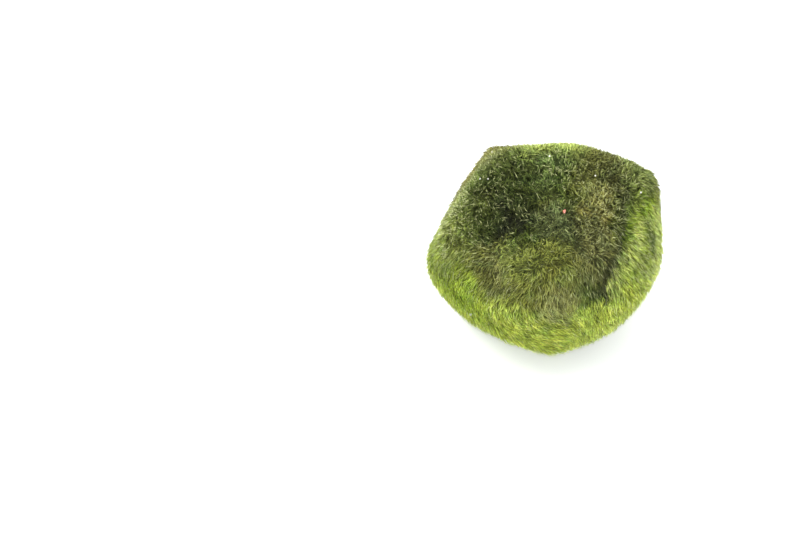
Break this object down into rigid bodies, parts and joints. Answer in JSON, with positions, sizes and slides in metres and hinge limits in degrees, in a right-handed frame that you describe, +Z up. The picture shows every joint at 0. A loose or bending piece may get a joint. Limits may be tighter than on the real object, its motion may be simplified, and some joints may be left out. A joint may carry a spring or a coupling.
{
  "type": "marimo moss ball",
  "caption": "Ball of fine green algal filaments, pressed into soft flats, that rests on a small flat spot.",
  "frame": {"origin": "centre of the bottom of the ball's box, level with the flat spot that it rests on", "axes": "+Z up, -Y the front, +X the ball's right as seen from the front"},
  "size_m": [0.0506, 0.0494, 0.0461],
  "materials": {
    "moss": "damp fibrous pile, matt with small glints, dark green to lime"
  },
  "bodies": {
    "root": {"moss_ball": "moss"}
  },
  "joints": []
}
